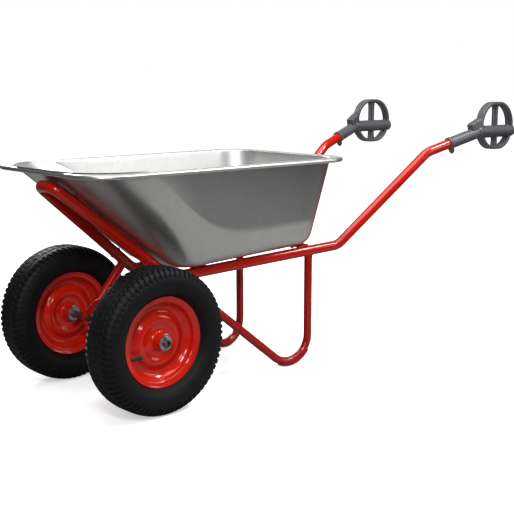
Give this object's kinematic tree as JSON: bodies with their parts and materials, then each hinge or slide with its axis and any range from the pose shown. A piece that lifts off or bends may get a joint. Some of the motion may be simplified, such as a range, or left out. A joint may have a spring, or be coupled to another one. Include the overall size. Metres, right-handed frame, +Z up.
{
  "type": "two-wheel wheelbarrow",
  "caption": "Wheelbarrow with a deep galvanised tray on a looped red tube frame, a pair of pneumatic wheels at the front and ring grips on splayed handles.",
  "frame": {"origin": "on the ground, midway between the front of the tray and the back of the grips", "axes": "+X along the barrow towards the handles, +Y to the right hand of the person pushing, +Z up"},
  "size_m": [1.654, 0.579, 0.7635],
  "materials": {
    "red": "gloss",
    "zinc": "satin",
    "steel": "satin",
    "tyre_rubber": "matte",
    "tube_rubber": "matte",
    "grip_plastic": "satin",
    "valve_brass": "satin"
  },
  "bodies": {
    "chassis": {"tray": "zinc", "rim_wire": "steel", "tray_bolts": "zinc", "tray_washers": "zinc", "tray_nuts": "zinc", "left_side_tube": "red", "right_side_tube": "red", "front_loop": "red", "left_leg": "red", "right_leg": "red", "left_foot_skid": "red", "right_foot_skid": "red", "front_crossbar": "red", "rear_crossbar": "red", "nose_strap": "red", "left_axle_strut": "red", "right_axle_strut": "red", "axle": "steel", "axle_washers": "zinc", "split_pins": "zinc", "left_grip": "grip_plastic", "right_grip": "grip_plastic", "grip_screws": "steel"},
    "left_wheel": {"left_tyre": "tyre_rubber", "left_inner_tube": "tube_rubber", "left_rim_outer": "red", "left_rim_inner": "red", "left_hub": "zinc", "left_bearings": "steel", "left_valve": "valve_brass"},
    "right_wheel": {"right_tyre": "tyre_rubber", "right_inner_tube": "tube_rubber", "right_rim_outer": "red", "right_rim_inner": "red", "right_hub": "zinc", "right_bearings": "steel", "right_valve": "valve_brass"}
  },
  "joints": [
    {"name": "left_wheel_spin", "type": "hinge", "parent": "chassis", "child": "left_wheel", "pos_m": [-0.629, -0.2115, 0.19], "axis": [0, 1, 0], "continuous": true},
    {"name": "right_wheel_spin", "type": "hinge", "parent": "chassis", "child": "right_wheel", "pos_m": [-0.629, 0.2115, 0.19], "axis": [0, 1, 0], "continuous": true}
  ]
}
